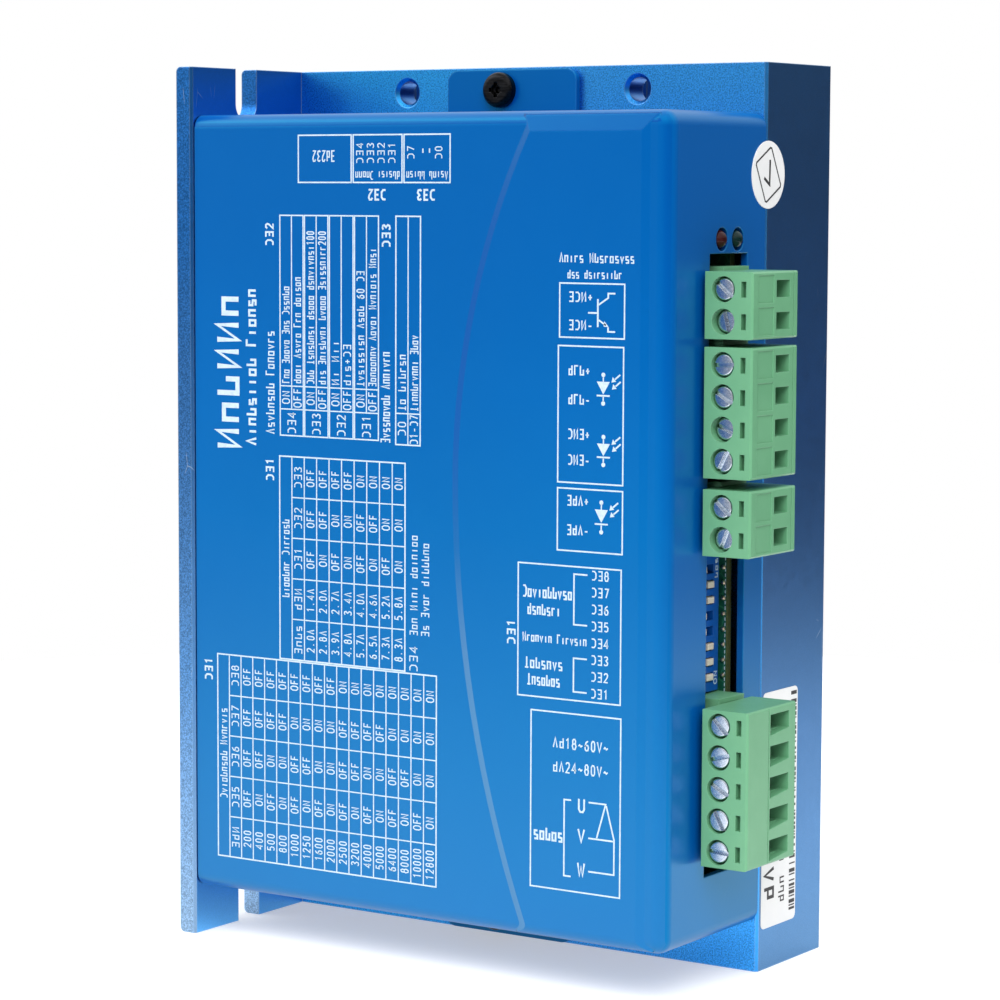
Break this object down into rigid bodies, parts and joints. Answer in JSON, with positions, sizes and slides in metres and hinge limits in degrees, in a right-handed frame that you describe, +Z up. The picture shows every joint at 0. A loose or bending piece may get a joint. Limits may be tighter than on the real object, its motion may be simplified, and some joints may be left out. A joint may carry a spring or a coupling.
{
  "type": "stepper motor driver module",
  "caption": "Stepper motor driver: a bent sheet cover on a finned L-shaped heatsink, with pluggable screw terminals, slide switches and a slotted mounting flange.",
  "frame": {"origin": "centre of the bounding box at the lower end of the heatsink, where the module stands", "axes": "+X from the mounting flange to the terminals, +Y from the labelled cover face to the fin tips, +Z up along the heatsink extrusion"},
  "size_m": [0.107, 0.053, 0.15],
  "materials": {
    "anodised": "blue anodised, finely bead-blasted",
    "cover_paint": "satin blue paint",
    "black_steel": "black oxide",
    "brass": "machined",
    "board_green": "green solder mask",
    "terminal_green": "moulded, light green",
    "tinned_pin": "tin plated",
    "black_plastic": "moulded black",
    "capacitor_sleeve": "shrink sleeve",
    "pad_grey": "silicone pad",
    "switch_blue": "moulded blue",
    "white_plastic": "moulded off-white",
    "red_lens": "tinted lens",
    "green_lens": "tinted lens",
    "sticker_white": "matt white label",
    "zinc_steel": "zinc plated"
  },
  "bodies": {
    "module": {"heatsink": "anodised", "cover": "cover_paint", "m3_screws": "black_steel", "board_standoffs": "brass", "circuit_board": "board_green", "board_headers": "terminal_green", "header_pins": "tinned_pin", "logic_chips": "black_plastic", "bulk_capacitors": "capacitor_sleeve", "power_transistors": "black_plastic", "thermal_pad": "pad_grey", "dip_switch_bodies": "switch_blue", "rotary_switch_body": "black_plastic", "serial_port_jack": "black_plastic", "alarm_led": "red_lens", "power_led": "green_lens", "stickers": "sticker_white"},
    "plug_a": {"plug_a": "terminal_green"},
    "plug_b": {"plug_b": "terminal_green"},
    "plug_c": {"plug_c": "terminal_green"},
    "plug_d": {"plug_d": "terminal_green"},
    "screw_a1": {"screw_a1": "zinc_steel"},
    "cage_a1": {"cage_a1": "zinc_steel"},
    "screw_a2": {"screw_a2": "zinc_steel"},
    "cage_a2": {"cage_a2": "zinc_steel"},
    "screw_b1": {"screw_b1": "zinc_steel"},
    "cage_b1": {"cage_b1": "zinc_steel"},
    "screw_b2": {"screw_b2": "zinc_steel"},
    "cage_b2": {"cage_b2": "zinc_steel"},
    "screw_b3": {"screw_b3": "zinc_steel"},
    "cage_b3": {"cage_b3": "zinc_steel"},
    "screw_b4": {"screw_b4": "zinc_steel"},
    "cage_b4": {"cage_b4": "zinc_steel"},
    "screw_c1": {"screw_c1": "zinc_steel"},
    "cage_c1": {"cage_c1": "zinc_steel"},
    "screw_c2": {"screw_c2": "zinc_steel"},
    "cage_c2": {"cage_c2": "zinc_steel"},
    "screw_d1": {"screw_d1": "zinc_steel"},
    "cage_d1": {"cage_d1": "zinc_steel"},
    "screw_d2": {"screw_d2": "zinc_steel"},
    "cage_d2": {"cage_d2": "zinc_steel"},
    "screw_d3": {"screw_d3": "zinc_steel"},
    "cage_d3": {"cage_d3": "zinc_steel"},
    "screw_d4": {"screw_d4": "zinc_steel"},
    "cage_d4": {"cage_d4": "zinc_steel"},
    "screw_d5": {"screw_d5": "zinc_steel"},
    "cage_d5": {"cage_d5": "zinc_steel"},
    "dip8_slider_1": {"dip8_slider_1": "white_plastic"},
    "dip8_slider_2": {"dip8_slider_2": "white_plastic"},
    "dip8_slider_3": {"dip8_slider_3": "white_plastic"},
    "dip8_slider_4": {"dip8_slider_4": "white_plastic"},
    "dip8_slider_5": {"dip8_slider_5": "white_plastic"},
    "dip8_slider_6": {"dip8_slider_6": "white_plastic"},
    "dip8_slider_7": {"dip8_slider_7": "white_plastic"},
    "dip8_slider_8": {"dip8_slider_8": "white_plastic"},
    "dip4_slider_1": {"dip4_slider_1": "white_plastic"},
    "dip4_slider_2": {"dip4_slider_2": "white_plastic"},
    "dip4_slider_3": {"dip4_slider_3": "white_plastic"},
    "dip4_slider_4": {"dip4_slider_4": "white_plastic"},
    "rotary_dial": {"rotary_dial": "white_plastic"}
  },
  "joints": [
    {"name": "plug_a_pull", "type": "slide", "parent": "module", "child": "plug_a", "axis": [1, 0, 0], "range_m": [0, 0.012]},
    {"name": "plug_b_pull", "type": "slide", "parent": "module", "child": "plug_b", "axis": [1, 0, 0], "range_m": [0, 0.012]},
    {"name": "plug_c_pull", "type": "slide", "parent": "module", "child": "plug_c", "axis": [1, 0, 0], "range_m": [0, 0.012]},
    {"name": "plug_d_pull", "type": "slide", "parent": "module", "child": "plug_d", "axis": [1, 0, 0], "range_m": [0, 0.012]},
    {"name": "cage_a1_rise", "type": "slide", "parent": "plug_a", "child": "cage_a1", "axis": [0, -1, 0], "range_m": [0, 0.0018]},
    {"name": "screw_a1_turn", "type": "hinge", "parent": "plug_a", "child": "screw_a1", "pos_m": [0.0482, -0.0165, 0.11382], "axis": [0, 1, 0], "range_deg": [0, 1440]},
    {"name": "cage_a2_rise", "type": "slide", "parent": "plug_a", "child": "cage_a2", "axis": [0, -1, 0], "range_m": [0, 0.0018]},
    {"name": "screw_a2_turn", "type": "hinge", "parent": "plug_a", "child": "screw_a2", "pos_m": [0.0482, -0.0165, 0.10874], "axis": [0, 1, 0], "range_deg": [0, 1440]},
    {"name": "cage_b1_rise", "type": "slide", "parent": "plug_b", "child": "cage_b1", "axis": [0, -1, 0], "range_m": [0, 0.0018]},
    {"name": "screw_b1_turn", "type": "hinge", "parent": "plug_b", "child": "screw_b1", "pos_m": [0.0482, -0.0165, 0.10194], "axis": [0, 1, 0], "range_deg": [0, 1440]},
    {"name": "cage_b2_rise", "type": "slide", "parent": "plug_b", "child": "cage_b2", "axis": [0, -1, 0], "range_m": [0, 0.0018]},
    {"name": "screw_b2_turn", "type": "hinge", "parent": "plug_b", "child": "screw_b2", "pos_m": [0.0482, -0.0165, 0.09686], "axis": [0, 1, 0], "range_deg": [0, 1440]},
    {"name": "cage_b3_rise", "type": "slide", "parent": "plug_b", "child": "cage_b3", "axis": [0, -1, 0], "range_m": [0, 0.0018]},
    {"name": "screw_b3_turn", "type": "hinge", "parent": "plug_b", "child": "screw_b3", "pos_m": [0.0482, -0.0165, 0.09178], "axis": [0, 1, 0], "range_deg": [0, 1440]},
    {"name": "cage_b4_rise", "type": "slide", "parent": "plug_b", "child": "cage_b4", "axis": [0, -1, 0], "range_m": [0, 0.0018]},
    {"name": "screw_b4_turn", "type": "hinge", "parent": "plug_b", "child": "screw_b4", "pos_m": [0.0482, -0.0165, 0.0867], "axis": [0, 1, 0], "range_deg": [0, 1440]},
    {"name": "cage_c1_rise", "type": "slide", "parent": "plug_c", "child": "cage_c1", "axis": [0, -1, 0], "range_m": [0, 0.0018]},
    {"name": "screw_c1_turn", "type": "hinge", "parent": "plug_c", "child": "screw_c1", "pos_m": [0.0482, -0.0165, 0.07941], "axis": [0, 1, 0], "range_deg": [0, 1440]},
    {"name": "cage_c2_rise", "type": "slide", "parent": "plug_c", "child": "cage_c2", "axis": [0, -1, 0], "range_m": [0, 0.0018]},
    {"name": "screw_c2_turn", "type": "hinge", "parent": "plug_c", "child": "screw_c2", "pos_m": [0.0482, -0.0165, 0.07433], "axis": [0, 1, 0], "range_deg": [0, 1440]},
    {"name": "cage_d1_rise", "type": "slide", "parent": "plug_d", "child": "cage_d1", "axis": [0, -1, 0], "range_m": [0, 0.0018]},
    {"name": "screw_d1_turn", "type": "hinge", "parent": "plug_d", "child": "screw_d1", "pos_m": [0.0482, -0.0165, 0.04453], "axis": [0, 1, 0], "range_deg": [0, 1440]},
    {"name": "cage_d2_rise", "type": "slide", "parent": "plug_d", "child": "cage_d2", "axis": [0, -1, 0], "range_m": [0, 0.0018]},
    {"name": "screw_d2_turn", "type": "hinge", "parent": "plug_d", "child": "screw_d2", "pos_m": [0.0482, -0.0165, 0.03945], "axis": [0, 1, 0], "range_deg": [0, 1440]},
    {"name": "cage_d3_rise", "type": "slide", "parent": "plug_d", "child": "cage_d3", "axis": [0, -1, 0], "range_m": [0, 0.0018]},
    {"name": "screw_d3_turn", "type": "hinge", "parent": "plug_d", "child": "screw_d3", "pos_m": [0.0482, -0.0165, 0.03437], "axis": [0, 1, 0], "range_deg": [0, 1440]},
    {"name": "cage_d4_rise", "type": "slide", "parent": "plug_d", "child": "cage_d4", "axis": [0, -1, 0], "range_m": [0, 0.0018]},
    {"name": "screw_d4_turn", "type": "hinge", "parent": "plug_d", "child": "screw_d4", "pos_m": [0.0482, -0.0165, 0.02929], "axis": [0, 1, 0], "range_deg": [0, 1440]},
    {"name": "cage_d5_rise", "type": "slide", "parent": "plug_d", "child": "cage_d5", "axis": [0, -1, 0], "range_m": [0, 0.0018]},
    {"name": "screw_d5_turn", "type": "hinge", "parent": "plug_d", "child": "screw_d5", "pos_m": [0.0482, -0.0165, 0.02421], "axis": [0, 1, 0], "range_deg": [0, 1440]},
    {"name": "dip8_slider_1_slide", "type": "slide", "parent": "module", "child": "dip8_slider_1", "axis": [0, 1, 0], "range_m": [-0.0024, 0]},
    {"name": "dip8_slider_2_slide", "type": "slide", "parent": "module", "child": "dip8_slider_2", "axis": [0, 1, 0], "range_m": [-0.0024, 0]},
    {"name": "dip8_slider_3_slide", "type": "slide", "parent": "module", "child": "dip8_slider_3", "axis": [0, 1, 0], "range_m": [-0.0024, 0]},
    {"name": "dip8_slider_4_slide", "type": "slide", "parent": "module", "child": "dip8_slider_4", "axis": [0, 1, 0], "range_m": [0, 0.0024]},
    {"name": "dip8_slider_5_slide", "type": "slide", "parent": "module", "child": "dip8_slider_5", "axis": [0, 1, 0], "range_m": [0, 0.0024]},
    {"name": "dip8_slider_6_slide", "type": "slide", "parent": "module", "child": "dip8_slider_6", "axis": [0, 1, 0], "range_m": [-0.0024, 0]},
    {"name": "dip8_slider_7_slide", "type": "slide", "parent": "module", "child": "dip8_slider_7", "axis": [0, 1, 0], "range_m": [-0.0024, 0]},
    {"name": "dip8_slider_8_slide", "type": "slide", "parent": "module", "child": "dip8_slider_8", "axis": [0, 1, 0], "range_m": [0, 0.0024]},
    {"name": "dip4_slider_1_slide", "type": "slide", "parent": "module", "child": "dip4_slider_1", "axis": [0, 1, 0], "range_m": [0, 0.0024]},
    {"name": "dip4_slider_2_slide", "type": "slide", "parent": "module", "child": "dip4_slider_2", "axis": [0, 1, 0], "range_m": [-0.0024, 0]},
    {"name": "dip4_slider_3_slide", "type": "slide", "parent": "module", "child": "dip4_slider_3", "axis": [0, 1, 0], "range_m": [0, 0.0024]},
    {"name": "dip4_slider_4_slide", "type": "slide", "parent": "module", "child": "dip4_slider_4", "axis": [0, 1, 0], "range_m": [0, 0.0024]},
    {"name": "rotary_dial_turn", "type": "hinge", "parent": "module", "child": "rotary_dial", "pos_m": [-0.0018, -0.0054, 0.137], "axis": [0, 0, 1], "continuous": true}
  ],
  "couplings": [
    {"joint": "screw_a1_turn", "follows": "cage_a1_rise", "rad_per_m": 13963},
    {"joint": "screw_a2_turn", "follows": "cage_a2_rise", "rad_per_m": 13963},
    {"joint": "screw_b1_turn", "follows": "cage_b1_rise", "rad_per_m": 13963},
    {"joint": "screw_b2_turn", "follows": "cage_b2_rise", "rad_per_m": 13963},
    {"joint": "screw_b3_turn", "follows": "cage_b3_rise", "rad_per_m": 13963},
    {"joint": "screw_b4_turn", "follows": "cage_b4_rise", "rad_per_m": 13963},
    {"joint": "screw_c1_turn", "follows": "cage_c1_rise", "rad_per_m": 13963},
    {"joint": "screw_c2_turn", "follows": "cage_c2_rise", "rad_per_m": 13963},
    {"joint": "screw_d1_turn", "follows": "cage_d1_rise", "rad_per_m": 13963},
    {"joint": "screw_d2_turn", "follows": "cage_d2_rise", "rad_per_m": 13963},
    {"joint": "screw_d3_turn", "follows": "cage_d3_rise", "rad_per_m": 13963},
    {"joint": "screw_d4_turn", "follows": "cage_d4_rise", "rad_per_m": 13963},
    {"joint": "screw_d5_turn", "follows": "cage_d5_rise", "rad_per_m": 13963}
  ]
}
